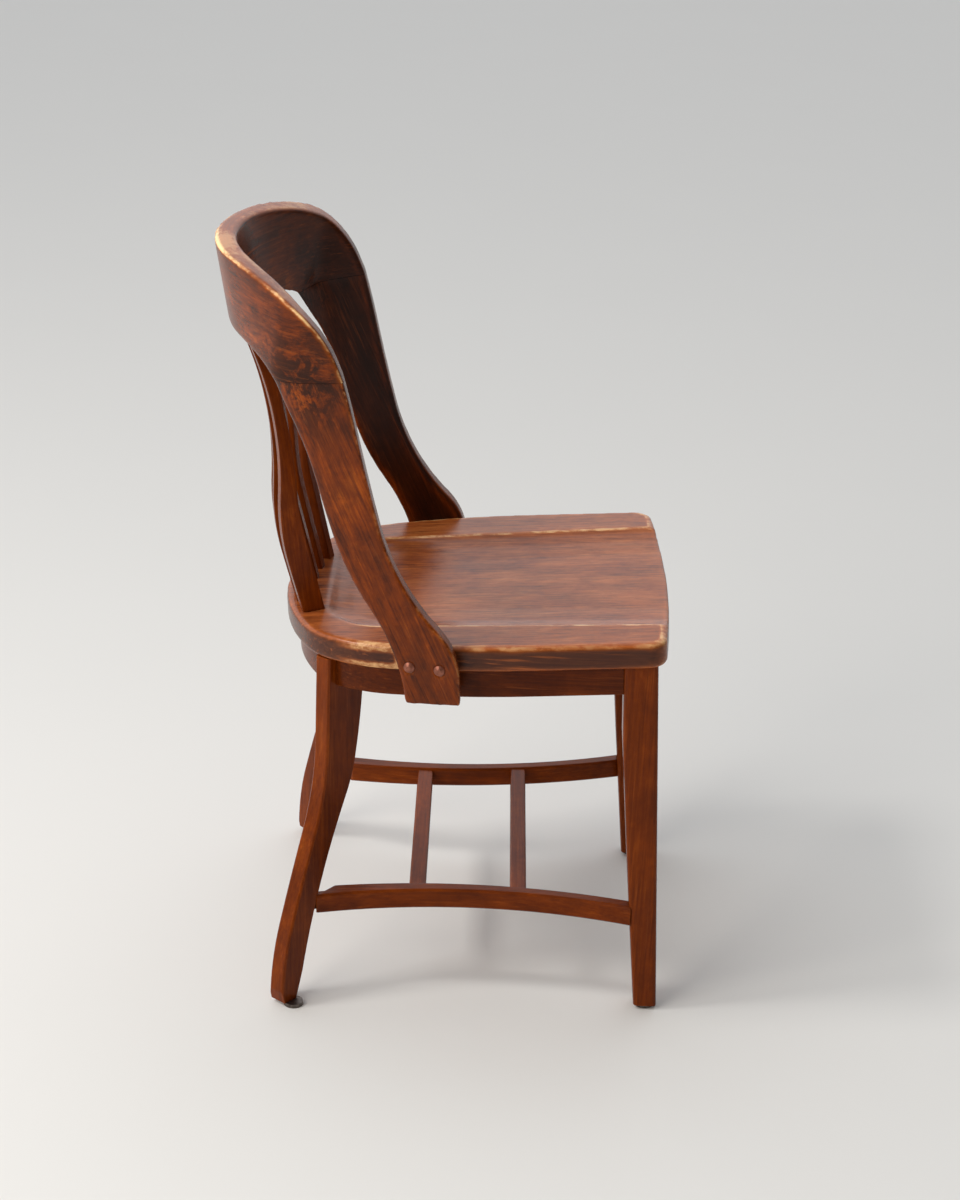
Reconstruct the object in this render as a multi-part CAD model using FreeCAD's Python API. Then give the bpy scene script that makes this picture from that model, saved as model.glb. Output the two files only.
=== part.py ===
import FreeCAD, Part
import math
import os

# Banker's side chair in solid wood: a saddled seat on four legs, two curved
# arms that carry a bowed crest rail, and six sawn back slats.
# Millimetres. +Z is up, the sitter faces -Y, the object's left is at -X.
# Y is measured from the line that the leg and arm stations were set out from,
# and every piece is moved by CENTRE_Y at the end, so that the origin lies on
# the floor under the middle of the whole chair.

V = FreeCAD.Vector
CENTRE_Y = -34.1

# Outlines are set out as tangent runs: each run is a length and the angle in
# degrees that it bends, positive to the left. A bend of 0 is a straight run.

# Seat
SEAT_PIVOT_Y = -175.0
SEAT_Z = 465.0
SEAT_TILT = 4.0
SEAT_THICK = 30.0
SEAT_FRONT_Y = -225.5
SEAT_CORNER_Y = -217.0
SEAT_CORNER_R = 23.0
SEAT_EDGE_R = 4.5
SEAT_REAR_Y = 217.5
SEAT_REAR = [(130.2, -26.0), (47.3, -27.8), (73.8, -25.3), (159.6, -10.9)]
BOARD_JOINTS = [-124.0, -41.5, 41.5, 124.0]

# Saddle of the seat: level, half width, rear end, corner radius
SADDLE = [(4.0, 141, 172, 66), (-3.2, 129, 158, 60), (-6.3, 108, 138, 54), (-7.8, 72, 104, 46)]
SADDLE_FLARE = 16.0

# Apron
APRON_INSET = 12.5
APRON_THICK = 20.0
APRON_HEIGHT = 34.6
TONGUE_THICK = 8.0
TONGUE_MARGIN = 7.0

# Legs
FRONT_LEG = [(445.0, 196.3, 158.0, -208.0, -170.0),
             (345.0, 197.0, 159.0, -213.7, -174.4),
             (185.0, 198.2, 166.5, -222.8, -188.8),
             (4.5, 199.5, 173.3, -233.1, -206.6)]
FRONT_LEG_R = 4.0
REAR_LEG_ARRIS = (158.0, 156.0)
REAR_LEG_TOP = 406.0
REAR_LEG_TURN = 50.0
REAR_LEG_LEAN = 1.73
REAR_LEG_THICK = 21.5
REAR_LEG_TOP_Z = 430.0
REAR_LEG_BACK = ((78.2, 3.0), (82.0, 20.0), 94.3, [(79.8, 15.2), (112.3, 2.2), (106.5, -19.9), (123.6, 0)])
REAR_LEG_FRONT = ((58.1, 3.0), (47.0, 36.0), 103.6, [(210.8, 13.7), (49.9, -15.5), (151.1, -12.4)])
REAR_LEG_EASE = 2.1

# Stretchers
STRETCHER_Z = 129.0
STRETCHER_FALL = 1.43
STRETCHER_HEIGHT = 24.2
STRETCHER_OUTER = [(199.5, -196), (164.6, 18), (186.5, 178)]
STRETCHER_INNER = [(181.5, -196), (147.5, 24), (162.5, 178)]
CROSS_RAILS = [("cross_stretcher_front", -67.0, 18.7, 129.0), ("cross_stretcher_rear", 50.1, 19.2, 125.5)]
CROSS_HEIGHT = 16.0
EDGE_EASE = 2.0

# Bow: the arms and the crest rail are sawn from one curved wall, set out as
# half plan curves at three levels, from the middle of the back to the front.
BOW_THICK = 25.0
BOW_TOP_Z = 858.0
BOW_TOP_Y = 301.0
BOW_TOP = [(107.8, -25.5), (117.9, -17.7), (53.1, -43.3), (45.0, -4.5)]
BOW_JOINT_Z = 752.0
BOW_JOINT_Y = 281.5
BOW_JOINT = [(104.7, -22.4), (86.3, -3.4), (44.5, -45.5), (82.0, -14.0)]
BOW_FOOT_Z = 388.0
BOW_FOOT_START = (193.1, 201.7)
BOW_FOOT_HEADING = -80.0
BOW_FOOT = [(88.0, 0), (45.0, 0), (86.0, 0)]
BOW_MARGIN = 10.0

# Side views of the crest rail and the arm: start (y, z), heading, runs
CREST_TOP = ((143.0, 757.0), 67.3, [(19.8, 0), (111.0, -48.6), (49.3, -15.6), (32.6, -5.8)])
CREST_UNDER = ((219.0, 748.0), 42.3, [(49.9, -43.0), (46.0, 0)])
ARM_FRONT = ((8.0, 392.0), 87.6, [(30.8, -1.6), (60.5, -40.2), (140.1, 28.9), (105.6, 2.4), (59.2, -3.5)])
ARM_REAR = ((69.0, 388.0), 83.1, [(119.9, -28.2), (94.1, 16.6), (61.7, 2.4), (72.4, -11.9), (44.3, 2.9)])

# Back slats
SLAT_CENTRE_Y = -52.5
SLAT_ANGLES = [-19.0, -11.2, -3.7, 3.7, 11.2, 19.0]
SLAT_THICK = 12.6
SLAT_FRONT = ((229.0, 420.0), 75.1, [(123.5, 0), (51.3, 10.7), (113.5, -12.9), (49.8, -6.0), (33.7, 8.0)])
SLAT_REAR = ((254.0, 420.0), 72.8, [(83.2, 1.5), (82.0, 17.0), (110.1, -14.7), (64.2, -9.0), (31.1, 6.0)])

# Fastenings
BOLT_SPOTS = [(32.5, 433.5), (65.6, 433.6)]
BOLT_HEAD = 14.5
BOLT_DOME = 4.2
BOLT_SHANK = 7.0
BOLT_LENGTH = 58.0
BOLT_SINK = 1.5
BOLT_FACE_X = 228.6
BOLT_FACE_SLOPE = 0.176
DOWEL = 9.0
DOWEL_LENGTH = 50.0
GLIDE = 22.0
GLIDE_HEIGHT = 4.5


def line(a, b):
    return Part.LineSegment(a, b).toShape()


def arc(a, m, b):
    return Part.Arc(a, m, b).toShape()


def route(start, heading, runs, place, offset=0.0):
    """Edges of tangent runs in the plane of place, moved to the right by offset."""
    angle = math.radians(heading)
    u = start[0] + offset * math.sin(angle)
    v = start[1] - offset * math.cos(angle)
    edges = []
    for length, bend in runs:
        turn = math.radians(bend)
        a = place(u, v)
        if bend == 0:
            u += length * math.cos(angle)
            v += length * math.sin(angle)
            edges.append(line(a, place(u, v)))
            continue
        radius = length / turn + offset
        half, chord = 2 * radius * math.sin(turn / 4), 2 * radius * math.sin(turn / 2)
        middle = place(u + half * math.cos(angle + turn / 4), v + half * math.sin(angle + turn / 4))
        u += chord * math.cos(angle + turn / 2)
        v += chord * math.sin(angle + turn / 2)
        angle += turn
        edges.append(arc(a, middle, place(u, v)))
    return edges


def first_point(edges):
    return edges[0].valueAt(edges[0].FirstParameter)


def last_point(edges):
    return edges[-1].valueAt(edges[-1].LastParameter)


def strip(one, other):
    """Closed wire between two routes that run the same way."""
    over = line(last_point(one), last_point(other))
    back = line(first_point(other), first_point(one))
    return Part.Wire(one + [over] + other[::-1] + [back])


def prism(edges, direction):
    return Part.Face(Part.Wire(edges)).extrude(direction)


def polygon_prism(points, direction):
    return Part.Face(Part.makePolygon(points + [points[0]])).extrude(direction)


def mirror(shape):
    return shape.mirror(V(0, 0, 0), V(1, 0, 0))


def tilt(shape):
    """Turns a piece set out level into the plane of the seat."""
    turned = shape.copy()
    turned.rotate(V(0, SEAT_PIVOT_Y, SEAT_Z), V(1, 0, 0), -SEAT_TILT)
    return turned


def biggest(shape):
    return max(shape.Solids, key=lambda s: s.Volume)


def eased_section(corners, radii, facets):
    """Closed wire on four corners, each corner eased by short facets."""
    rows = []
    for i in range(4):
        p = corners[i]
        u = (corners[i - 1] - p).normalize()
        w = (corners[(i + 1) % 4] - p).normalize()
        half = u.getAngle(w) / 2
        reach = radii[i] / math.tan(half)
        axis = (u + w).normalize()
        centre = p + axis * (radii[i] / math.sin(half))
        entry, leave = p + u * reach, p + w * reach
        spoke = (entry - centre).normalize()
        end = (leave - centre).normalize()
        rows.append([entry])
        for k in range(1, facets):
            share = k / facets
            middle = (spoke * (1 - share) + end * share).normalize()
            rows[-1].append(centre + middle * radii[i])
        rows[-1].append(leave)
    edges = []
    for i in range(4):
        row, following = rows[i], rows[(i + 1) % 4]
        edges += [line(a, b) for a, b in zip(row, row[1:])]
        edges.append(line(row[-1], following[0]))
    return Part.Wire(edges)


def seat_outline(z, inset=0.0):
    """Outline of the seat, or a line inside it: bowed front, rounded back."""
    def place(x, y):
        return V(x, y, z)

    right_rim = route((0, SEAT_REAR_Y), 0, SEAT_REAR, place, inset)
    rim_end = last_point(right_rim)
    left_rim = route((0, SEAT_REAR_Y), 180, [(length, -bend) for length, bend in SEAT_REAR], place, -inset)
    w, r = rim_end.x, max(SEAT_CORNER_R - inset, 6.0)
    front, corner = SEAT_FRONT_Y + inset, SEAT_CORNER_Y + inset
    k = r * (1 - math.sqrt(0.5))
    right, left = V(w - r, corner, z), V(r - w, corner, z)
    return [arc(left, V(0, front, z), right),
            arc(right, V(w - k, corner + k, z), V(w, corner + r, z)),
            line(V(w, corner + r, z), rim_end)] + right_rim[::-1] + left_rim + [
            line(V(-w, rim_end.y, z), V(-w, corner + r, z)),
            arc(V(-w, corner + r, z), V(k - w, corner + k, z), left)]


def saddle_section(level, half, rear, r):
    z = SEAT_Z + level
    front = SEAT_FRONT_Y - 40
    k = r * (1 - math.sqrt(0.5))
    a, b = V(half + SADDLE_FLARE, front, z), V(half, rear - r, z)
    c, d = V(half - r, rear, z), V(r - half, rear, z)
    e, f = V(-half, rear - r, z), V(-half - SADDLE_FLARE, front, z)
    return Part.Wire([line(f, a), line(a, b), arc(b, V(half - k, rear - k, z), c), line(c, d),
                      arc(d, V(k - half, rear - k, z), e), line(e, f)])


def make_seat():
    slab = prism(seat_outline(SEAT_Z - SEAT_THICK), V(0, 0, SEAT_THICK))
    rims = [e for e in slab.Edges if abs(e.BoundBox.ZLength) < 0.01]
    slab = slab.makeChamfer(SEAT_EDGE_R * 0.75, rims)
    hollow = Part.makeLoft([saddle_section(*row) for row in SADDLE], True, True)
    return tilt(slab.cut(hollow))


def ring(inset, thick, bottom, height):
    up = V(0, 0, height)
    outer = prism(seat_outline(bottom, inset), up)
    inner = prism(seat_outline(bottom, inset + thick), up)
    return tilt(outer.cut(inner))


def make_front_leg():
    wires = []
    for z, x_out, x_in, y_front, y_rear in FRONT_LEG:
        corners = [V(x_out, y_front, z), V(x_out, y_rear, z), V(x_in, y_rear, z), V(x_in, y_front, z)]
        wires.append(eased_section(corners, [FRONT_LEG_R] * 4, 2))
    return Part.makeLoft(wires, True, True)


def rear_leg_axes():
    """Arris on the floor, direction in which the leg kicks out, and across it."""
    turn = math.radians(REAR_LEG_TURN)
    origin = V(REAR_LEG_ARRIS[0], REAR_LEG_ARRIS[1], 0)
    return origin, V(math.sin(turn), math.cos(turn), 0), V(-math.cos(turn), math.sin(turn), 0)


def lean_rear_leg(shape):
    origin, out, across = rear_leg_axes()
    shape.rotate(origin + V(0, 0, REAR_LEG_TOP), out, -REAR_LEG_LEAN)
    return shape


def beyond_rear_leg():
    """Block behind the leg's front cheek, which trims what butts against it."""
    origin, out, across = rear_leg_axes()
    corners = [origin - out * 200, origin + out * 200, origin + out * 200 + across * 200,
               origin - out * 200 + across * 200]
    return lean_rear_leg(polygon_prism(corners, V(0, 0, REAR_LEG_TOP_Z)))


def make_rear_leg():
    """Sabre leg sawn from a thick board and set on the diagonal."""
    origin, out, across = rear_leg_axes()

    def place(u, z):
        return origin + out * u + V(0, 0, z)

    sides = []
    for toe, start, heading, runs in (REAR_LEG_BACK, REAR_LEG_FRONT):
        sides.append([line(place(*toe), place(*start))] + route(start, heading, runs, place))
    leg = Part.Face(strip(*sides)).extrude(across * REAR_LEG_THICK)
    runs_up = [e for e in leg.Edges if abs(e.tangentAt(e.FirstParameter).dot(across)) < 0.5]
    long_edges = [e for e in runs_up if e.Length > 40]
    leg = lean_rear_leg(leg.makeChamfer(REAR_LEG_EASE, long_edges))
    return leg.cut(Part.makeBox(800, 800, GLIDE_HEIGHT, V(-400, -400, 0)))


def make_side_stretcher(inset, height, front_reach, rear_reach):
    """Bowed side stretcher between two arcs, or the thinner tongue inside it."""
    z = STRETCHER_Z - (STRETCHER_HEIGHT - height) / 2 - height
    outer = [V(x - inset, y, z) for x, y in STRETCHER_OUTER]
    inner = [V(x + inset, y, z) for x, y in STRETCHER_INNER]
    for row in (outer, inner):
        row[0].y -= front_reach
        row[2].y += rear_reach
    edges = [arc(*outer), line(outer[2], inner[2]), arc(*reversed(inner)), line(inner[0], outer[0])]
    rail = prism(edges, V(0, 0, height))
    if inset == 0:
        long_edges = [e for e in rail.Edges if e.Length > 200]
        rail = rail.makeChamfer(EDGE_EASE, long_edges)
    rail.rotate(V(0, 0, STRETCHER_Z), V(1, 0, 0), -STRETCHER_FALL)
    return rail


def bow_level(z):
    """Start and runs of the bow's outer half curve at a level."""
    share = (z - BOW_JOINT_Z) / (BOW_TOP_Z - BOW_JOINT_Z)
    start_y = BOW_JOINT_Y + (BOW_TOP_Y - BOW_JOINT_Y) * share
    runs = [(a + (c - a) * share, b + (d - b) * share) for (a, b), (c, d) in zip(BOW_JOINT, BOW_TOP)]
    return start_y, runs


def wall_wire(start, heading, runs, z):
    """Closed plan outline of the bow's wall at one level."""
    def place(x, y):
        return V(x, y, z)

    return strip(route(start, heading, runs, place), route(start, heading, runs, place, BOW_THICK))


def side_view(one, other, width):
    """Prism across the chair whose outline in the side view lies between two routes."""
    def place(y, z):
        return V(0, y, z)

    return Part.Face(strip(route(*one, place), route(*other, place))).extrude(V(width, 0, 0))


def make_crest():
    wires = []
    for z in (BOW_JOINT_Z - BOW_MARGIN, BOW_TOP_Z + BOW_MARGIN):
        start_y, runs = bow_level(z)
        wires.append(wall_wire((0, start_y), 0, runs, z))
    half = Part.makeLoft(wires, True, True).common(side_view(CREST_TOP, CREST_UNDER, 300))
    half = biggest(half)
    return half.fuse(mirror(half)).removeSplitter()


def make_arm():
    """One arm: its wall leans from the straight foot to the curve at the joint."""
    z = BOW_JOINT_Z + BOW_MARGIN
    start_y, runs = bow_level(z)
    skipped = route((0, start_y), 0, runs[:1], lambda x, y: V(x, y, z))
    start = last_point(skipped)
    low = wall_wire(BOW_FOOT_START, BOW_FOOT_HEADING, BOW_FOOT, BOW_FOOT_Z)
    high = wall_wire((start.x, start.y), runs[0][1], runs[1:], z)
    wall = Part.makeLoft([low, high], True, True)
    return biggest(wall.common(side_view(ARM_FRONT, ARM_REAR, 300)))


def slat_frame(shape, angle):
    shape.translate(V(0, SLAT_CENTRE_Y, 0))
    shape.rotate(V(0, SLAT_CENTRE_Y, 0), V(0, 0, 1), -angle)
    return shape


def slat_blank(angle):
    def place(y, z):
        return V(-SLAT_THICK / 2, y, z)

    profile = strip(route(*SLAT_FRONT, place), route(*SLAT_REAR, place))
    return slat_frame(Part.Face(profile).extrude(V(SLAT_THICK, 0, 0)), angle)


def slat_tenons(angle):
    foot = Part.makeBox(8, 16, 24, V(-4, 240, 422))
    head = Part.makeBox(8, 7, 22, V(-4, 314.5, 760))
    return slat_frame(foot, angle), slat_frame(head, angle)


def make_bolt(y, z):
    """Domed bolt that goes through the arm into the edge of the seat."""
    r = BOLT_HEAD / 2
    outward = V(1, 0, 0)
    rim = Part.makeCone(r, r * 0.8, BOLT_DOME * 0.55, V(0, 0, 0), outward)
    crown = Part.makeCone(r * 0.8, r * 0.35, BOLT_DOME * 0.45, V(BOLT_DOME * 0.55, 0, 0), outward)
    head = Part.makeCylinder(r, BOLT_SINK, V(-BOLT_SINK, 0, 0), outward)
    shank = Part.makeCylinder(BOLT_SHANK / 2, BOLT_LENGTH, V(-BOLT_SINK, 0, 0), V(-1, 0, 0))
    bolt = head.fuse([rim, crown, shank]).removeSplitter()
    bolt.rotate(V(0, 0, 0), V(0, 0, 1), 90 + BOW_FOOT_HEADING)
    bolt.translate(V(BOLT_FACE_X - BOLT_FACE_SLOPE * y, y, z))
    return bolt


def make_glide(x, y):
    return Part.makeCylinder(GLIDE / 2, GLIDE_HEIGHT, V(x, y, 0))


seat = make_seat()
crest_blank = make_crest()
arm_blank = make_arm().cut(crest_blank)
arm_right = arm_blank
arm_left = mirror(arm_blank)
seat = seat.cut(arm_right).cut(arm_left)

# Space below and above the seat, used to trim the legs and slats
under_seat = tilt(Part.makeBox(600, 600, 500, V(-300, -300, SEAT_Z - SEAT_THICK - 500)))
over_seat = tilt(Part.makeBox(600, 600, 500, V(-300, -300, SEAT_Z)))

apron_bottom = SEAT_Z - SEAT_THICK - APRON_HEIGHT
apron = ring(APRON_INSET, APRON_THICK, apron_bottom, APRON_HEIGHT)
tongue = ring(APRON_INSET + (APRON_THICK - TONGUE_THICK) / 2, TONGUE_THICK,
              apron_bottom + TONGUE_MARGIN, APRON_HEIGHT - 2 * TONGUE_MARGIN)
leg_front_right = make_front_leg().common(under_seat)
leg_rear_right = make_rear_leg().common(under_seat)
legs = {"leg_front_right": leg_front_right, "leg_front_left": mirror(leg_front_right),
        "leg_rear_right": leg_rear_right, "leg_rear_left": mirror(leg_rear_right)}

nodes = {}

# Four apron pieces, with tongues that meet on a mitre inside the legs
all_legs = Part.makeCompound(list(legs.values()))
shoulders = apron.cut(all_legs)
corners = {"front_right": V(178, -190, 0), "rear_right": V(135, 138, 0),
           "rear_left": V(-135, 138, 0), "front_left": V(-178, -190, 0)}
sectors = {"apron_front": ("front_left", "front_right"), "apron_right": ("front_right", "rear_right"),
           "apron_rear": ("rear_right", "rear_left"), "apron_left": ("rear_left", "front_left")}
hub = V(0, 0, 0)
for name, (first, second) in sectors.items():
    a, b = corners[first] * 2, corners[second] * 2
    sector = polygon_prism([V(hub.x, hub.y, 300), V(a.x, a.y, 300), V(b.x, b.y, 300)], V(0, 0, 200))
    piece = shoulders.fuse(tongue).common(sector)
    nodes[name] = biggest(piece)

# Bowed side stretchers with tongues let into the legs
stretcher = make_side_stretcher(0, STRETCHER_HEIGHT, 0, 0)
peg = make_side_stretcher(4.0, STRETCHER_HEIGHT - 10, 10.0, -3.0)
rail = biggest(stretcher.cut(leg_front_right).cut(beyond_rear_leg()))
stretchers = {"side_stretcher_right": rail.fuse(peg)}
stretchers["side_stretcher_left"] = mirror(stretchers["side_stretcher_right"])

# Straight cross stretchers, tenoned into the side stretchers
sides = Part.makeCompound(list(stretchers.values()))
for name, y, width, top in CROSS_RAILS:
    bar = Part.makeBox(340, width, CROSS_HEIGHT, V(-170, y - width / 2, top - CROSS_HEIGHT))
    bar = bar.makeChamfer(1.5, [e for e in bar.Edges if e.Length > 300])
    bar = biggest(bar.cut(sides))
    tenon = Part.makeBox(314, 10, 9, V(-157, y - 5, top - CROSS_HEIGHT + 3.5))
    nodes[name] = bar.fuse(tenon).removeSplitter()
    for side in stretchers:
        stretchers[side] = stretchers[side].cut(tenon)
for side, rail in stretchers.items():
    nodes[side] = rail.removeSplitter()

for name, leg in legs.items():
    leg = leg.cut(tongue).cut(peg).cut(mirror(peg))
    nodes[name] = biggest(leg)

# Back slats between the seat and the crest rail
crest = crest_blank
for i, angle in enumerate(SLAT_ANGLES):
    foot, head = slat_tenons(angle)
    body = slat_blank(angle).common(over_seat).cut(crest_blank)
    body = min(body.Solids, key=lambda s: s.CenterOfMass.z)
    nodes["slat_%d" % (i + 1)] = biggest(body.fuse([foot, head]).removeSplitter())
    crest = crest.cut(head)
    seat = seat.cut(foot)

# Dowels across the joints between the arms and the crest rail
dowels = []
for x, y, z in [(203.0, 160.0, 753.5), (189.0, 200.0, 749.0)]:
    pin = Part.makeCylinder(DOWEL / 2, DOWEL_LENGTH, V(0, 0, -DOWEL_LENGTH / 2))
    pin.rotate(V(0, 0, 0), V(1, 0, 0), -7.0)
    pin.translate(V(x, y, z))
    dowels += [pin, mirror(pin)]
for pin in dowels:
    crest = crest.cut(pin)
    arm_right = arm_right.cut(pin)
    arm_left = arm_left.cut(pin)
nodes["crest_rail"] = biggest(crest)
nodes["joint_dowels"] = Part.makeCompound(dowels)

# Arm bolts
bolts = [make_bolt(y, z) for y, z in BOLT_SPOTS]
for bolt in bolts:
    arm_right = arm_right.cut(bolt)
    arm_left = arm_left.cut(mirror(bolt))
    seat = seat.cut(bolt).cut(mirror(bolt))
nodes["arm_bolts"] = Part.makeCompound(bolts + [mirror(bolt) for bolt in bolts])
nodes["arm_right"] = biggest(arm_right)
nodes["arm_left"] = biggest(arm_left)

# Five edge-glued boards make the seat
cuts = [-300.0] + BOARD_JOINTS + [300.0]
for i in range(len(cuts) - 1):
    slot = Part.makeBox(cuts[i + 1] - cuts[i], 600, 200, V(cuts[i], -300, 380))
    nodes["seat_board_%d" % (i + 1)] = biggest(seat.common(slot))

# Corner blocks behind the front legs
block = polygon_prism([V(176, -118, 405), V(105, -190, 405), V(176, -190, 405)], V(0, 0, 30))
block = tilt(block).cut(apron).cut(all_legs)
block = biggest(block)
nodes["corner_blocks"] = Part.makeCompound([block, mirror(block)])

# Glides under the feet
spots = [(186.4, -219.8), (217.0, 188.0)]
nodes["foot_glides"] = Part.makeCompound([make_glide(x * s, y) for x, y in spots for s in (1, -1)])

os.makedirs("parts", exist_ok=True)
for name, shape in nodes.items():
    placed = shape.copy()
    placed.translate(V(0, CENTRE_Y, 0))
    placed.exportStep("parts/%s.step" % name)
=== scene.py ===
"""Banker's side chair in worn, varnished wood: softened bow and seat, finishes and studio."""
import math

import bmesh
import bpy
import numpy as np
from mathutils import Matrix, Vector


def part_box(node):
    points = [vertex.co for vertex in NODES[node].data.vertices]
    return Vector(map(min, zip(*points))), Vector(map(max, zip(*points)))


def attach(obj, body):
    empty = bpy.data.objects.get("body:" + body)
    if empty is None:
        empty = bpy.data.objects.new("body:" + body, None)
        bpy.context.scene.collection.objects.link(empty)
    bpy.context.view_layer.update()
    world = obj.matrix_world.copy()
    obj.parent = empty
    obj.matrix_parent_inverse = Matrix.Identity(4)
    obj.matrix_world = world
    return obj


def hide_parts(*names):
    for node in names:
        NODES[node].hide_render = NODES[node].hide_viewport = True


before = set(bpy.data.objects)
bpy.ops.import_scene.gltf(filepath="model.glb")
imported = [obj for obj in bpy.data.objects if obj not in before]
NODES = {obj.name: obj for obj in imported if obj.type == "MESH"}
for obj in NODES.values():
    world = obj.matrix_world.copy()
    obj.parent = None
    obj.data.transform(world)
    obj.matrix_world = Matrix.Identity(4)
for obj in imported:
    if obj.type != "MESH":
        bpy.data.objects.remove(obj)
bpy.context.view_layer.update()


def srgb(red, green, blue):
    """Linear colour with alpha, from the three values as a picture shows them."""
    out = []
    for value in (red, green, blue):
        c = value / 255.0
        out.append(c / 12.92 if c <= 0.04045 else ((c + 0.055) / 1.055) ** 2.4)
    return (*out, 1.0)


# Camera, set for a picture of 960 by 1200: metres, degrees, millimetres of lens and sensor
CAMERA_PLACE = Vector((-2.7885, -0.0341, 1.6))
CAMERA_YAW = -0.19
CAMERA_PITCH = 22.848
CAMERA_ROLL = 2.392
CAMERA_LENS = 77.40
CAMERA_SENSOR = 36.0
CAMERA_CLIP = (0.05, 250.0)

# Room: the side that its light comes from, its dim and bright tones with their places on
# the way from one side to the other, and the backdrop that the camera sees behind the floor
BRIGHT_SIDE = Vector((0.75, 0.45, 0.6)).normalized()
ROOM_DIM = (0.0, (0.10, 0.09, 0.08, 1.0))
ROOM_BRIGHT = (0.75, (0.93, 0.96, 1.0, 1.0))
ROOM_STRENGTH = 1.2
BACKDROP = (0.50, 0.50, 0.49, 1.0)

# Square soft lights: name, place, side in metres, watts and colour; all aim at one point
LIGHTS = (("key_window", (-2.3, 2.3, 2.0), 1.8, 54, (1.0, 0.95, 0.88)),
          ("high_window", (-0.5, 2.2, 3.2), 0.7, 42, (1.0, 0.98, 0.95)))
LIGHT_TARGET = Vector((0.0, 0.0, 0.5))

# Floor: half its side, its paint, and a second tone in faint patches
FLOOR_HALF = 80.0
FLOOR_TONE = srgb(226, 224, 220)
FLOOR_PATCH = srgb(200, 198, 194)
FLOOR_PATCH_SHARE = 0.06
FLOOR_ROUGHNESS = 0.85

# Noise patterns: squeeze along the grain, scale, detail, roughness, distortion
SWAY = (0.3, 6.0, 1.0, 0.5, 0.0)
FIGURE = (0.12, 34.0, 4.0, 0.6, 0.0)
CLOUD = (0.7, 17.0, 6.0, 0.68, 0.3)
FIBRE = (0.03, 340.0, 4.0, 0.7, 0.0)
STAIN = (0.7, 34.0, 8.0, 0.72, 0.5)
PORES = (0.05, 700.0, 2.0, 0.5, 0.0)
STREAKS = (0.03, 240.0, 4.0, 0.65, 0.0)
GLOSS = (1.0, 34.0, 4.0, 0.6, 0.0)
TARNISH = (1.0, 160.0, 4.0, 0.65, 0.0)
METAL_GLOSS = (1.0, 240.0, 3.0, 0.6, 0.0)
METAL_DENTS = (1.0, 420.0, 3.0, 0.6, 0.0)
FLOOR_CLOUD = (1.0, 3.0, 4.0, 0.5, 0.0)

# Scuffs in worn wood; their scale differs from piece to piece
SCUFF_ALONG = 0.6
SCUFF_DETAIL = 6.0
SCUFF_ROUGH = 0.72

# Spans of noise over which each mark in the wood comes or goes, and how strong it gets
TONE_PLACES = (0.31, 0.43, 0.53, 0.66)
BLOTCH_SPAN = (0.47, 0.56)
GRIP_SPAN = (0.44, 0.52)
PORE_SPAN = (0.60, 0.70)
DARK_STREAK_SPAN = (0.50, 0.64)
LIGHT_STREAK_SPAN = (0.30, 0.42)
SCUFF_SPAN = (0.42, 0.58)
TARNISH_SPAN = (0.42, 0.62)
# Depth of the darkening: real blotches and hand stain, and the painted shade of the softened bow
# and seat
STAIN_AND_SHADE_DEPTH = 0.88
PORE_DEPTH = 0.35

# Shares of three patterns in the tone of the wood
FIGURE_SHARE = 0.24
CLOUD_SHARE = 0.44
FIBRE_SHARE = 0.32

# Sway of the grain in metres, and the middle of the noise that drives it
SWAY_WIDTH = 0.008
NOISE_MIDDLE = (0.5, 0.5, 0.5)

# Varnish: how much roughness changes with the gloss pattern and with wear
GLOSS_SWING = 0.2
WORN_DULLNESS = 0.15
COAT_ROUGHNESS = 0.26

# Relief of the wood and of the metal: shares of fibres and pores, strength, metres
FIBRE_HEIGHT = 0.5
PORE_HEIGHT = -0.6
WOOD_RELIEF = (0.14, 0.0008)
METAL_RELIEF = (0.12, 0.0005)
METAL_GLOSS_SWING = 0.3

# Arrises of the plain CAD nodes: rounding, samples, and the span of cosines that is worn
ARRIS_SIZE = 0.0025
ARRIS_SAMPLES = 6
ARRIS_SPAN = (0.80, 0.985)

# Tones of the stained wood, dark to light, of worn wood, and the wear that each comes with
ESPRESSO = srgb(40, 19, 10)
UMBER = srgb(84, 34, 8)
RUSSET = srgb(128, 54, 6)
AMBER = srgb(180, 88, 14)
WORN = srgb(204, 108, 44)
BARE = srgb(255, 214, 152)
BOW_TONES = (ESPRESSO, UMBER, RUSSET, AMBER)
SEAT_TONES = (srgb(52, 24, 15), srgb(134, 65, 30), srgb(162, 86, 40), srgb(192, 114, 62))
CALM_TONES = (srgb(76, 30, 8), srgb(98, 40, 8), srgb(122, 52, 8), srgb(150, 72, 14))
# Aprons: a darker copy of the calm tones, painted shade under the seat's overhang
SHADED_TONES = (srgb(56, 22, 8), srgb(76, 30, 8), srgb(96, 40, 8), srgb(122, 54, 12))
RAW_TONES = (srgb(120, 84, 50), srgb(150, 108, 68), srgb(176, 132, 88), srgb(200, 160, 112))
WORN_PLACE = 0.3
BARE_PLACE = 1.0

# Tones of the metal
BRONZE = srgb(152, 92, 72)
STEEL = srgb(120, 112, 106)
DIRT = srgb(40, 22, 16)

# Hand stain on the bow: its middle from the side as (Y, Z), its reach, and where it fades
GRIP_PLACE = (0.155, 0.752)
GRIP_REACH = 0.095
GRIP_FADE = (0.25, 1.0)

# Ways that the grain runs: up, across and in depth, and leaning with the slats and the arms
UP = (0.0, 0.0, 0.0)
ACROSS = (0.0, math.radians(90), 0.0)
DEPTH = (math.radians(90), 0.0, 0.0)
SLAT_LEAN = (math.radians(8), 0.0, 0.0)
ARM_LEAN = (math.radians(25), 0.0, 0.0)

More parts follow.
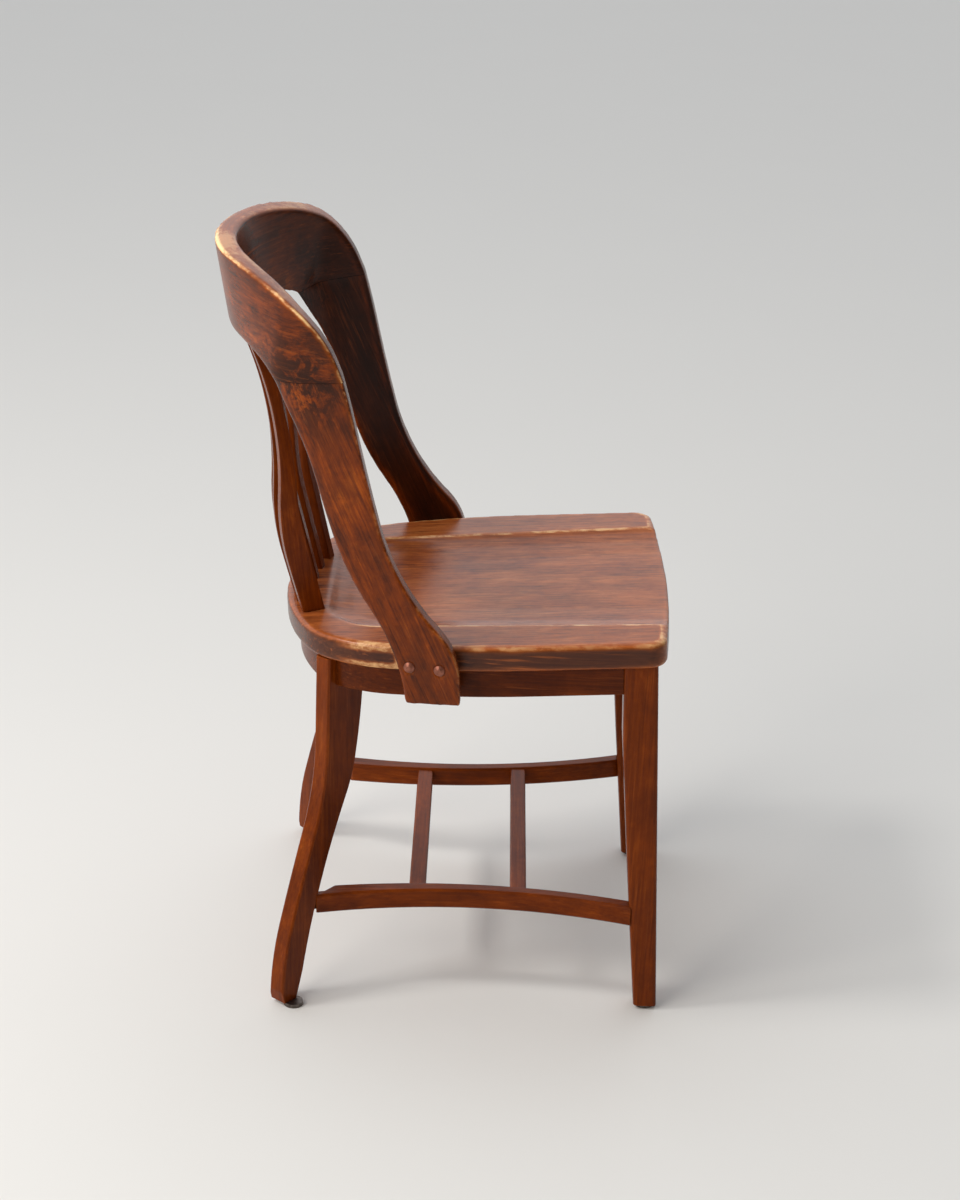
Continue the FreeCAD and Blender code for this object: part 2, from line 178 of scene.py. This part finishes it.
# Places in the pattern that the pieces are cut from: boards and slats in rows of a start and
# a stride, the rest by a share of the name's length, then left, right and depth
ARM_LEFT_CUT = (1.3, 0.4, 0.2)
ARM_RIGHT_CUT = (2.3, 0.4, 0.2)
BOARD_CUTS = ((0.0, 0.6, 0.0), (0.37, 0.0, 0.21))
SLAT_CUTS = ((0.0, 0.2, 0.0), (0.5, 0.0, 0.1))
LEG_CUTS = (0.61, 0.3, 0.8, 0.45)
RAIL_CUTS = (0.23, 0.7, 0.1, 0.9)

# Nodes that keep their CAD mesh; the rails with the way of their grain and their tones
SLATS = tuple("slat_%d" % (i + 1) for i in range(6))
LEGS = ("leg_front_left", "leg_front_right", "leg_rear_left", "leg_rear_right")
RAILS = (("apron_front", ACROSS, SHADED_TONES),
         ("apron_rear", ACROSS, SHADED_TONES),
         ("apron_left", DEPTH, SHADED_TONES),
         ("apron_right", DEPTH, SHADED_TONES),
         ("side_stretcher_left", DEPTH, CALM_TONES),
         ("side_stretcher_right", DEPTH, CALM_TONES),
         ("cross_stretcher_front", ACROSS, CALM_TONES),
         ("cross_stretcher_rear", ACROSS, CALM_TONES))

# Softened bow: size of its voxels, rounds that round its arrises, rounds that find them, and
# the upright axis that it bends round
BOW_NODES = ("crest_rail", "arm_left", "arm_right")
BOW_VOXEL = 0.0018
BOW_ROUNDS = 16
BOW_REACH = 30
BOW_AXIS_Y = 0.02
BOW_RADIUS = 0.2

# Joints between the crest rail and the arms: one point of their plane, its normal, and the gap
JOINT_POINT = Vector((0.0, 0.1849, 0.748))
JOINT_NORMAL = Vector((0.0, 9.0, 76.0)).normalized()
JOINT_GAP = 0.0004

# Wear on the bow, by sharpness in metres, by the way that a point faces, and by its height
# over the joints. An arris that faces the front counts nearly as one that faces up.
BOW_WORN_SHARP = (0.00006, 0.0008)
BOW_WORN_OUTWARD = (-0.1, 0.3)
BOW_WORN_UPWARD = (0.0, 0.35)
BOW_FRONT_AS_UP = 0.8
BOW_CREST_SPAN = (-0.03, 0.01)
BOW_ARM_WEAR = 0.5
# Up-facing faces of the bow made lighter: partly hand wear, partly painted sheen
HANDLED_SHEEN_UPWARD = (0.55, 0.9)
HANDLED_WEAR_AND_SHEEN = 0.6

# Painted shade inside the bow, stronger at the sides, and left off the arrises that don't face
# front, which the light reaches
SHADE_INWARD = (0.35, 0.85)
SHADE_MIDDLE = 0.15
SHADE_SIDES = 0.75
SHADE_ASIDE = (0.08, 0.19)
UNSHADED_SHARP = (0.00001, 0.0002)
UNSHADED_REARWARD = (-0.35, -0.1)

# Softened seat: the same sizes and rounds
SEAT_NODES = tuple("seat_board_%d" % (i + 1) for i in range(5))
SEAT_VOXEL = 0.002
SEAT_ROUNDS = 6
SEAT_REACH = 8

# Wear on the seat's edge, less on its sides, at the middle of its front and at the back
EDGE_SHARP = (0.0001, 0.0006)
EDGE_UPWARD = (0.0, 0.5)
EDGE_SIDE_WEAR = 0.45
EDGE_FRONTWARD = (0.02, 0.2)
EDGE_FRONT_ASIDE = (0.14, 0.17)
EDGE_FRONT_LOSS = 0.8
EDGE_REAR_Y = (-0.03, 0.03)
EDGE_REAR_LOSS = 0.75

# Wear on the saddle's rim, between the seat's sides and ends, and painted shade on the seat's
# upright sides
RIM_SHARP = (0.00004, 0.00014)
RIM_ASIDE = (0.195, 0.205)
RIM_FRONT_Y = (-0.255, -0.245)
RIM_REAR_Y = (0.09, 0.12)
RIM_WEAR = 0.8
SIDE_UPWARD = (0.3, 0.6)
SIDE_SHADE = 0.95

# Meshes: points nearer than this are one, rounds that even out normals, pull of each round
WELD = 1e-6
NORMAL_ROUNDS = 3
PULL = 0.5


class Graph:
    """The nodes of one material, added and linked by short calls."""

    def __init__(self, name):
        self.material = bpy.data.materials.new(name)
        self.material.use_nodes = True
        self.tree = self.material.node_tree
        self.tree.nodes.clear()
        self.output = self.tree.nodes.new("ShaderNodeOutputMaterial")

    def feed(self, socket, value):
        """Links a socket to an input, or sets the input to a value."""
        if isinstance(value, bpy.types.NodeSocket):
            self.tree.links.new(value, socket)
        else:
            socket.default_value = value

    def node(self, kind, inputs, **settings):
        """A new node with its settings and inputs."""
        made = self.tree.nodes.new("ShaderNode" + kind)
        for key, value in settings.items():
            setattr(made, key, value)
        for key, value in inputs.items():
            self.feed(made.inputs[key], value)
        return made

    def math(self, operation, a, b=0.0, clamp=False):
        """One number worked out from two."""
        return self.node("Math", {0: a, 1: b}, operation=operation, use_clamp=clamp).outputs[0]

    def times(self, a, b, clamp=False):
        """The product of two numbers."""
        return self.math("MULTIPLY", a, b, clamp)

    def plus(self, a, b):
        """The sum of two numbers."""
        return self.math("ADD", a, b)

    def length(self, a, b):
        """The length of a step of a one way and b square to it."""
        return self.math("SQRT", self.plus(self.times(a, a), self.times(b, b)))

    def mix(self, share, a, b):
        """Colour a with a share of colour b laid over it."""
        return self.node("Mix", {0: share, 6: a, 7: b}, data_type="RGBA").outputs[2]

    def ramp(self, value, stops):
        """Colour or grey ramp: stops are (place, grey or colour)."""
        made = self.node("ValToRGB", {0: value})
        points = made.color_ramp.elements
        while len(points) < len(stops):
            points.new(0.5)
        for point, (place, tone) in zip(points, stops):
            point.position = place
            point.color = tone if isinstance(tone, tuple) else (tone, tone, tone, 1.0)
        return made.outputs[0]

    def rise(self, value, span, least=0.0):
        """From the least at the span's start to 1 at its end."""
        return self.ramp(value, [(span[0], least), (span[1], 1.0)])

    def fall(self, value, span):
        """From 1 at the span's start to 0 at its end."""
        return self.ramp(value, [(span[0], 1.0), (span[1], 0.0)])

    def place(self):
        """Each point's own place, in metres."""
        return self.node("TexCoord", {}).outputs["Object"]

    def noise(self, place, pattern, output="Fac"):
        """One of the noise patterns, long in the grain's direction, local Z."""
        along, scale, detail, rough, twist = pattern
        squeezed = self.node("Mapping", {"Vector": place, "Scale": (1.0, 1.0, along)}).outputs[0]
        return self.node("TexNoise", {"Vector": squeezed, "Scale": scale, "Detail": detail,
                                      "Roughness": rough, "Distortion": twist}).outputs[output]

    def layer(self, name):
        """A layer of numbers that a softened mesh carries."""
        made = self.node("Attribute", {}, attribute_name=name, attribute_type="GEOMETRY")
        return made.outputs["Fac"]

    def relief(self, height, strength, distance, **others):
        """A normal bent by small heights."""
        inputs = {"Height": height, "Strength": strength, "Distance": distance, **others}
        return self.node("Bump", inputs).outputs[0]

    def finished(self, inputs):
        """The material, with one shader that these inputs feed."""
        shader = self.node("BsdfPrincipled", inputs)
        self.feed(self.output.inputs["Surface"], shader.outputs[0])
        return self.material


def swayed(g, place):
    """A slow drift added to coordinates, so that no grain line is quite straight."""
    sway = g.noise(place, SWAY, "Color")
    about_zero = g.node("VectorMath", {0: sway, 1: NOISE_MIDDLE}, operation="SUBTRACT").outputs[0]
    small = g.node("VectorMath", {0: about_zero, "Scale": SWAY_WIDTH}, operation="SCALE").outputs[0]
    return g.node("VectorMath", {0: place, 1: small}, operation="ADD").outputs[0]


def straight_grain(g, turn, cut):
    """Coordinates turned so that the grain runs along local Z, from one place in the pattern."""
    inputs = {"Vector": g.place(), "Rotation": turn, "Location": cut}
    return swayed(g, g.node("Mapping", inputs).outputs[0])


def bent_grain(g):
    """Coordinates whose local Z runs round the bow's upright axis."""
    x, y, z = g.node("SeparateXYZ", {0: g.place()}).outputs
    back = g.math("SUBTRACT", y, BOW_AXIS_Y)
    along = g.times(g.math("ARCTAN2", x, back), BOW_RADIUS)
    return swayed(g, g.node("CombineXYZ", {0: g.length(x, back), 1: z, 2: along}).outputs[0])


def grip_stain(g):
    """Dark hand stain on both sides of the joints between the crest rail and the arms."""
    y, z = g.node("SeparateXYZ", {0: g.place()}).outputs[1:3]
    rise = g.math("SUBTRACT", z, GRIP_PLACE[1])
    run = g.math("SUBTRACT", y, GRIP_PLACE[0])
    return g.fall(g.math("DIVIDE", g.length(rise, run), GRIP_REACH), GRIP_FADE)


def darkened(g, grain, blotches, layers, grip):
    """How dark the wood is at each point: real blotches and hand stain, and with layers the painted
    shade that a softened mesh carries.
    """
    stain = g.noise(grain, STAIN)
    dark = g.times(g.rise(stain, BLOTCH_SPAN), blotches)
    # With layers, painted shade from the softened mesh: inside the bow and on the seat's sides
    if layers:
        dark = g.math("MAXIMUM", dark, g.layer("painted_shade"))
    if grip:
        dark = g.math("MAXIMUM", dark, g.times(grip_stain(g), g.rise(stain, GRIP_SPAN)))
    return g.times(dark, STAIN_AND_SHADE_DEPTH)


def worn_edges(g, layers):
    """How worn each arris is, and the normal that it is rounded with."""
    geometry = g.node("NewGeometry", {}).outputs
    if layers:
        return g.layer("worn"), geometry["Normal"]
    rounded = g.node("Bevel", {"Radius": ARRIS_SIZE}, samples=ARRIS_SAMPLES).outputs[0]
    same = g.node("VectorMath", {0: rounded, 1: geometry["True Normal"]}, operation="DOT_PRODUCT")
    return g.fall(same.outputs["Value"], ARRIS_SPAN), rounded


def wood(name, turn=UP, cut=(0.0, 0.0, 0.0), tones=BOW_TONES, blotches=0.2, wear=1.0,
         scuff_scale=110.0, scuff_least=0.25, streaks=0.15, shine=0.2, coat=1.0, coat_index=1.2,
         layers=False, bent=False, grip=False):
    """Stained and varnished wood with growth figure, pores, dark blotches and worn arrises.

    The turn and the cut place the grain, and bent runs it round the bow instead. Scuffs of
    one scale break up the wear, down to its least share. With layers, wear and painted shade come
    from the layers of a softened mesh. With grip, the bow's hand stain is added.
    """
    g = Graph(name)
    grain = bent_grain(g) if bent else straight_grain(g, turn, cut)
    fibre = g.noise(grain, FIBRE)
    value = g.plus(g.times(g.noise(grain, FIGURE), FIGURE_SHARE),
                   g.times(g.noise(grain, CLOUD), CLOUD_SHARE))
    value = g.plus(value, g.times(fibre, FIBRE_SHARE))
    colour = g.ramp(value, list(zip(TONE_PLACES, tones)))
    colour = g.mix(darkened(g, grain, blotches, layers, grip), colour, tones[0])
    pores = g.rise(g.noise(grain, PORES), PORE_SPAN)
    colour = g.mix(g.times(pores, PORE_DEPTH), colour, tones[0])
    lines = g.noise(grain, STREAKS)
    colour = g.mix(g.times(g.rise(lines, DARK_STREAK_SPAN), streaks), colour, tones[0])
    colour = g.mix(g.times(g.fall(lines, LIGHT_STREAK_SPAN), streaks), colour, WORN)
    edge, rounded = worn_edges(g, layers)
    scuffs = g.noise(grain, (SCUFF_ALONG, scuff_scale, SCUFF_DETAIL, SCUFF_ROUGH, 0.0))
    worn = g.times(g.times(edge, g.rise(scuffs, SCUFF_SPAN, scuff_least)), wear, clamp=True)
    colour = g.mix(worn, colour, g.ramp(worn, [(WORN_PLACE, WORN), (BARE_PLACE, BARE)]))
    roughness = g.plus(g.times(g.noise(grain, GLOSS), GLOSS_SWING), shine)
    roughness = g.plus(roughness, g.times(worn, WORN_DULLNESS))
    height = g.plus(g.times(fibre, FIBRE_HEIGHT), g.times(pores, PORE_HEIGHT))
    normal = g.relief(height, *WOOD_RELIEF, Normal=rounded)
    return g.finished({"Base Color": colour, "Roughness": roughness, "Normal": normal,
                       "Specular IOR Level": 0.0, "Coat Weight": coat, "Coat IOR": coat_index,
                       "Coat Roughness": COAT_ROUGHNESS, "Coat Normal": normal})


def metal(name, colour, roughness, metallic, dirt):
    """Worn metal with darker tarnish in soft patches."""
    g = Graph(name)
    place = g.place()
    patches = g.times(g.rise(g.noise(place, TARNISH), TARNISH_SPAN), dirt)
    gloss = g.plus(g.times(g.noise(place, METAL_GLOSS), METAL_GLOSS_SWING), roughness)
    return g.finished({"Base Color": g.mix(patches, colour, DIRT), "Roughness": gloss,
                       "Metallic": metallic,
                       "Normal": g.relief(g.noise(place, METAL_DENTS), *METAL_RELIEF)})


def floor_paint():
    """Pale paint with a second tone in faint patches."""
    g = Graph("floor_paint")
    patches = g.times(g.noise(g.place(), FLOOR_CLOUD), FLOOR_PATCH_SHARE)
    return g.finished({"Base Color": g.mix(patches, FLOOR_TONE, FLOOR_PATCH),
                       "Roughness": FLOOR_ROUGHNESS})


def dress(target, material):
    """Gives an object one material in place of those it came with."""
    target.data.materials.clear()
    target.data.materials.append(material)


def added(name, data):
    """A new object in the scene."""
    made = bpy.data.objects.new(name, data)
    bpy.context.scene.collection.objects.link(made)
    return made


def joined(names):
    """One mesh that holds the shapes of several CAD nodes."""
    mesh = bpy.data.meshes.new("joined")
    bm = bmesh.new()
    for name in names:
        bm.from_mesh(NODES[name].data)
    bmesh.ops.remove_doubles(bm, verts=bm.verts, dist=WELD)
    bm.to_mesh(mesh)
    bm.free()
    return mesh


def remeshed(mesh, voxel):
    """The same form in small even faces."""
    holder = added("holder", mesh)
    modifier = holder.modifiers.new("even", "REMESH")
    modifier.mode = "VOXEL"
    modifier.voxel_size = voxel
    evaluated = holder.evaluated_get(bpy.context.evaluated_depsgraph_get())
    done = bpy.data.meshes.new_from_object(evaluated)
    bpy.data.objects.remove(holder)
    return done


def relax(points, edges, rounds):
    """Moves every point towards the mean of its neighbours, which rounds the arrises."""
    count = np.bincount(edges.ravel(), minlength=len(points))[:, None]
    for _ in range(rounds):
        total = np.zeros_like(points)
        for axis in range(3):
            total[:, axis] = (np.bincount(edges[:, 0], points[edges[:, 1], axis], len(points))
                              + np.bincount(edges[:, 1], points[edges[:, 0], axis], len(points)))
        points = points * (1.0 - PULL) + total / count * PULL
    return points


def vectors(collection, key):
    """The vectors of a mesh's points as one array."""
    flat = np.zeros(len(collection) * 3)
    collection.foreach_get(key, flat)
    return flat.reshape(-1, 3)


def rising(values, span):
    """0 below the span, 1 above it, straight between."""
    low, high = span
    return np.clip((values - low) / (high - low), 0.0, 1.0)


def falling(values, span):
    """1 below the span, 0 above it, straight between."""
    return 1.0 - rising(values, span)


def add_layer(mesh, name, values):
    """Gives a mesh one number at each of its points, for its material to read."""
    layer = mesh.attributes.new(name, "FLOAT", "POINT")
    layer.data.foreach_set("value", values.astype(np.float32))


def softened(names, voxel, rounds, reach):
    """Joined nodes with rounded arrises: mesh, points, normals, and each point's sharpness.

    Sharpness is how far a point stands out from what many more rounds would make of it.
    """
    mesh = remeshed(joined(names), voxel)
    edges = np.zeros(len(mesh.edges) * 2, dtype=np.int64)
    mesh.edges.foreach_get("vertices", edges)
    edges = edges.reshape(-1, 2)
    points = relax(vectors(mesh.vertices, "co"), edges, rounds)
    mesh.vertices.foreach_set("co", points.ravel())
    mesh.update()
    normals = relax(vectors(mesh.vertices, "normal"), edges, NORMAL_ROUNDS)
    sharp = ((points - relax(points, edges, reach)) * normals).sum(1)
    return mesh, points, normals, sharp


def cut_off(mesh, name, planes):
    """A closed part of a mesh, kept on the side that each plane's normal points to."""
    bm = bmesh.new()
    bm.from_mesh(mesh)
    for face in bm.faces:
        face.smooth = True
    for place, normal in planes:
        everything = bm.verts[:] + bm.edges[:] + bm.faces[:]
        done = bmesh.ops.bisect_plane(bm, geom=everything, plane_co=place, plane_no=normal,
                                      clear_inner=True)
        rim = [e for e in done["geom_cut"] if isinstance(e, bmesh.types.BMEdge)]
        for edge in rim:
            edge.smooth = False
        bmesh.ops.holes_fill(bm, edges=rim)
    piece = added(name, bpy.data.meshes.new(name))
    bm.to_mesh(piece.data)
    bm.free()
    return piece


def stand_for(piece, node):
    """The piece takes the place of one CAD node and rides with the chair."""
    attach(piece, "root")
    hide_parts(node)


def wear_bow(mesh, points, normals, sharp):
    """Layers of wear, with painted sheen on the up-facing faces, and of painted shade for the bow.
    """
    away = points - np.array([0.0, BOW_AXIS_Y, 0.0])
    away[:, 2] = 0.0
    away /= np.linalg.norm(away, axis=1)[:, None]
    outward = (away * normals).sum(1)
    upward = np.maximum(normals[:, 2], -BOW_FRONT_AS_UP * normals[:, 1])
    above = rising(points[:, 2] - JOINT_POINT.z, BOW_CREST_SPAN)
    worn = (rising(sharp, BOW_WORN_SHARP) * rising(outward, BOW_WORN_OUTWARD)
            * rising(upward, BOW_WORN_UPWARD) * (BOW_ARM_WEAR + (1.0 - BOW_ARM_WEAR) * above))
    # Lighter up-facing faces, partly hand wear and partly painted sheen, kept in the worn layer
    handled_and_sheen = HANDLED_WEAR_AND_SHEEN * rising(normals[:, 2], HANDLED_SHEEN_UPWARD)
    add_layer(mesh, "worn", np.maximum(worn, handled_and_sheen))
    # Painted shade on the faces that turn inward, deeper towards the arms, left off the rearward
    # arrises
    unshaded = rising(sharp, UNSHADED_SHARP) * rising(normals[:, 1], UNSHADED_REARWARD)
    depth = SHADE_MIDDLE + SHADE_SIDES * rising(np.abs(points[:, 0]), SHADE_ASIDE)
    add_layer(mesh, "painted_shade", rising(-outward, SHADE_INWARD) * depth * (1.0 - unshaded))


def make_bow():
    """The crest rail and both arms, with rounded arrises and tight joints between them."""
    mesh, points, normals, sharp = softened(BOW_NODES, BOW_VOXEL, BOW_ROUNDS, BOW_REACH)
    wear_bow(mesh, points, normals, sharp)
    half_gap = JOINT_NORMAL * JOINT_GAP / 2
    above = (JOINT_POINT + half_gap, JOINT_NORMAL)
    below = (JOINT_POINT - half_gap, -JOINT_NORMAL)
    middle = Vector((0.0, 0.0, 0.0))
    side = Vector((1.0, 0.0, 0.0))
    crest = cut_off(mesh, "crest_rail_worn", [above])
    left = cut_off(mesh, "arm_left_worn", [below, (middle, -side)])
    right = cut_off(mesh, "arm_right_worn", [below, (middle, side)])
    for piece, node in zip((crest, left, right), BOW_NODES):
        stand_for(piece, node)
    return crest, left, right


def wear_seat(mesh, points, normals, sharp):
    """Layers of wear and of painted shade for the seat."""
    aside = np.abs(points[:, 0])
    upward = rising(normals[:, 2], EDGE_UPWARD)
    front = rising(-normals[:, 1], EDGE_FRONTWARD) * falling(aside, EDGE_FRONT_ASIDE)
    rear = rising(points[:, 1], EDGE_REAR_Y)
    edge = (rising(sharp, EDGE_SHARP) * (EDGE_SIDE_WEAR + (1.0 - EDGE_SIDE_WEAR) * upward)
            * (1.0 - EDGE_FRONT_LOSS * front) * (1.0 - EDGE_REAR_LOSS * rear))
    inside = (falling(aside, RIM_ASIDE) * rising(points[:, 1], RIM_FRONT_Y)
              * falling(points[:, 1], RIM_REAR_Y))
    add_layer(mesh, "worn", np.maximum(edge, RIM_WEAR * rising(sharp, RIM_SHARP) * inside))
    # Painted shade on the seat's upright sides
    add_layer(mesh, "painted_shade", SIDE_SHADE * falling(np.abs(normals[:, 2]), SIDE_UPWARD))


def make_seat():
    """Five boards with one softened saddle over them."""
    mesh, points, normals, sharp = softened(SEAT_NODES, SEAT_VOXEL, SEAT_ROUNDS, SEAT_REACH)
    wear_seat(mesh, points, normals, sharp)
    side = Vector((1.0, 0.0, 0.0))
    boards = []
    for i, node in enumerate(SEAT_NODES):
        low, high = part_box(node)
        planes = []
        if i > 0:
            planes.append((side * low[0], side))
        if i < len(SEAT_NODES) - 1:
            planes.append((side * high[0], -side))
        board = cut_off(mesh, node + "_worn", planes)
        stand_for(board, node)
        boards.append(board)
    return boards


def cut_in_row(cuts, i):
    """The place in the pattern of one piece in a row of pieces."""
    start, stride = cuts
    return tuple(first + each * i for first, each in zip(start, stride))


def cut_by_name(cuts, name):
    """The place in the pattern of one piece, by the length of its name and by its side."""
    share, left, right, depth = cuts
    return (share * len(name), left if "left" in name else right, depth)


def make_finishes(crest, left, right, boards):
    """Every piece and every CAD node gets its own cut of wood or its metal."""
    bow = {"coat_index": 1.27, "layers": True, "grip": True}
    dress(crest, wood("crest_wood", blotches=0.5, scuff_scale=26.0, scuff_least=0.35, bent=True,
                      **bow))
    for arm, name, cut in ((left, "arm_wood_left", ARM_LEFT_CUT),
                           (right, "arm_wood_right", ARM_RIGHT_CUT)):
        dress(arm, wood(name, ARM_LEAN, cut, blotches=0.3, scuff_scale=90.0, scuff_least=0.0,
                        **bow))
    for i, board in enumerate(boards):
        dress(board, wood("seat_wood_%d" % (i + 1), DEPTH, cut_in_row(BOARD_CUTS, i), SEAT_TONES,
                          blotches=0.12, scuff_scale=60.0, scuff_least=0.45, streaks=0.4,
                          shine=0.26, coat_index=1.34, layers=True))
    for i, name in enumerate(SLATS):
        dress(NODES[name], wood("slat_wood_%d" % (i + 1), SLAT_LEAN, cut_in_row(SLAT_CUTS, i),
                                CALM_TONES, blotches=0.3, wear=0.2))
    for name in LEGS:
        dress(NODES[name], wood(name + "_wood", UP, cut_by_name(LEG_CUTS, name), CALM_TONES,
                                wear=0.4))
    for name, turn, tones in RAILS:
        dress(NODES[name], wood(name + "_wood", turn, cut_by_name(RAIL_CUTS, name), tones,
                                wear=0.3))
    raw = {"tones": RAW_TONES, "blotches": 0.1, "wear": 0.0, "shine": 0.5, "coat": 0.0}
    dress(NODES["corner_blocks"], wood("raw_block_wood", ACROSS, **raw))
    dress(NODES["joint_dowels"], wood("raw_dowel_wood", **raw))
    dress(NODES["arm_bolts"], metal("bolt_bronze", BRONZE, roughness=0.26, metallic=0.6, dirt=0.35))
    dress(NODES["foot_glides"], metal("glide_steel", STEEL, roughness=0.3, metallic=1.0, dirt=0.5))


def make_floor():
    """One wide, flat and pale floor."""
    half = FLOOR_HALF
    mesh = bpy.data.meshes.new("floor")
    corners = [(-half, -half, 0), (half, -half, 0), (half, half, 0), (-half, half, 0)]
    mesh.from_pydata(corners, [], [(0, 1, 2, 3)])
    floor = added("floor", mesh)
    floor.data.materials.append(floor_paint())


def make_light(name, place, size, power, colour):
    """A square soft light that aims at the chair."""
    data = bpy.data.lights.new(name, "AREA")
    data.shape = "SQUARE"
    data.size = size
    data.energy = power
    data.color = colour
    lamp = added(name, data)
    lamp.location = place
    lamp.rotation_mode = "QUATERNION"
    lamp.rotation_quaternion = (LIGHT_TARGET - Vector(place)).to_track_quat("-Z", "Y")


def make_room():
    """A room that is bright behind the chair and overhead, and dim behind the camera."""
    world = bpy.data.worlds.new("studio")
    world.use_nodes = True
    nodes, links = world.node_tree.nodes, world.node_tree.links
    toward = nodes.new("ShaderNodeVectorMath")
    toward.operation = "DOT_PRODUCT"
    toward.inputs[1].default_value = BRIGHT_SIDE
    links.new(nodes.new("ShaderNodeTexCoord").outputs["Generated"], toward.inputs[0])
    fade = nodes.new("ShaderNodeValToRGB")
    links.new(toward.outputs["Value"], fade.inputs[0])
    for point, (place, tone) in zip(fade.color_ramp.elements, (ROOM_DIM, ROOM_BRIGHT)):
        point.position = place
        point.color = tone
    shown = nodes.new("ShaderNodeMix")
    shown.data_type = "RGBA"
    links.new(nodes.new("ShaderNodeLightPath").outputs["Is Camera Ray"], shown.inputs[0])
    links.new(fade.outputs[0], shown.inputs[6])
    shown.inputs[7].default_value = BACKDROP
    links.new(shown.outputs[2], nodes["Background"].inputs["Color"])
    nodes["Background"].inputs["Strength"].default_value = ROOM_STRENGTH
    bpy.context.scene.world = world


def make_studio():
    """The room, its lights and plain colours in the picture."""
    make_room()
    for light in LIGHTS:
        make_light(*light)
    bpy.context.scene.view_settings.view_transform = "Standard"


def make_camera():
    """A camera that looks down from the side at the photographed angle."""
    data = bpy.data.cameras.new("camera")
    data.sensor_fit = "AUTO"
    data.sensor_width = CAMERA_SENSOR
    data.lens = CAMERA_LENS
    data.clip_start, data.clip_end = CAMERA_CLIP
    data.dof.use_dof = False
    yaw, pitch, roll = (math.radians(a) for a in (CAMERA_YAW, CAMERA_PITCH, CAMERA_ROLL))
    level = math.cos(pitch)
    ahead = Vector((math.cos(yaw) * level, math.sin(yaw) * level, -math.sin(pitch)))
    right = ahead.cross(Vector((0, 0, 1))).normalized()
    up = right.cross(ahead)
    side = right * math.cos(roll) + up * math.sin(roll)
    turned = Matrix((side, side.cross(ahead), -ahead)).transposed().to_4x4()
    camera = added("camera", data)
    camera.matrix_world = Matrix.Translation(CAMERA_PLACE) @ turned
    bpy.context.scene.camera = camera


make_camera()
make_studio()
make_floor()
make_finishes(*make_bow(), make_seat())
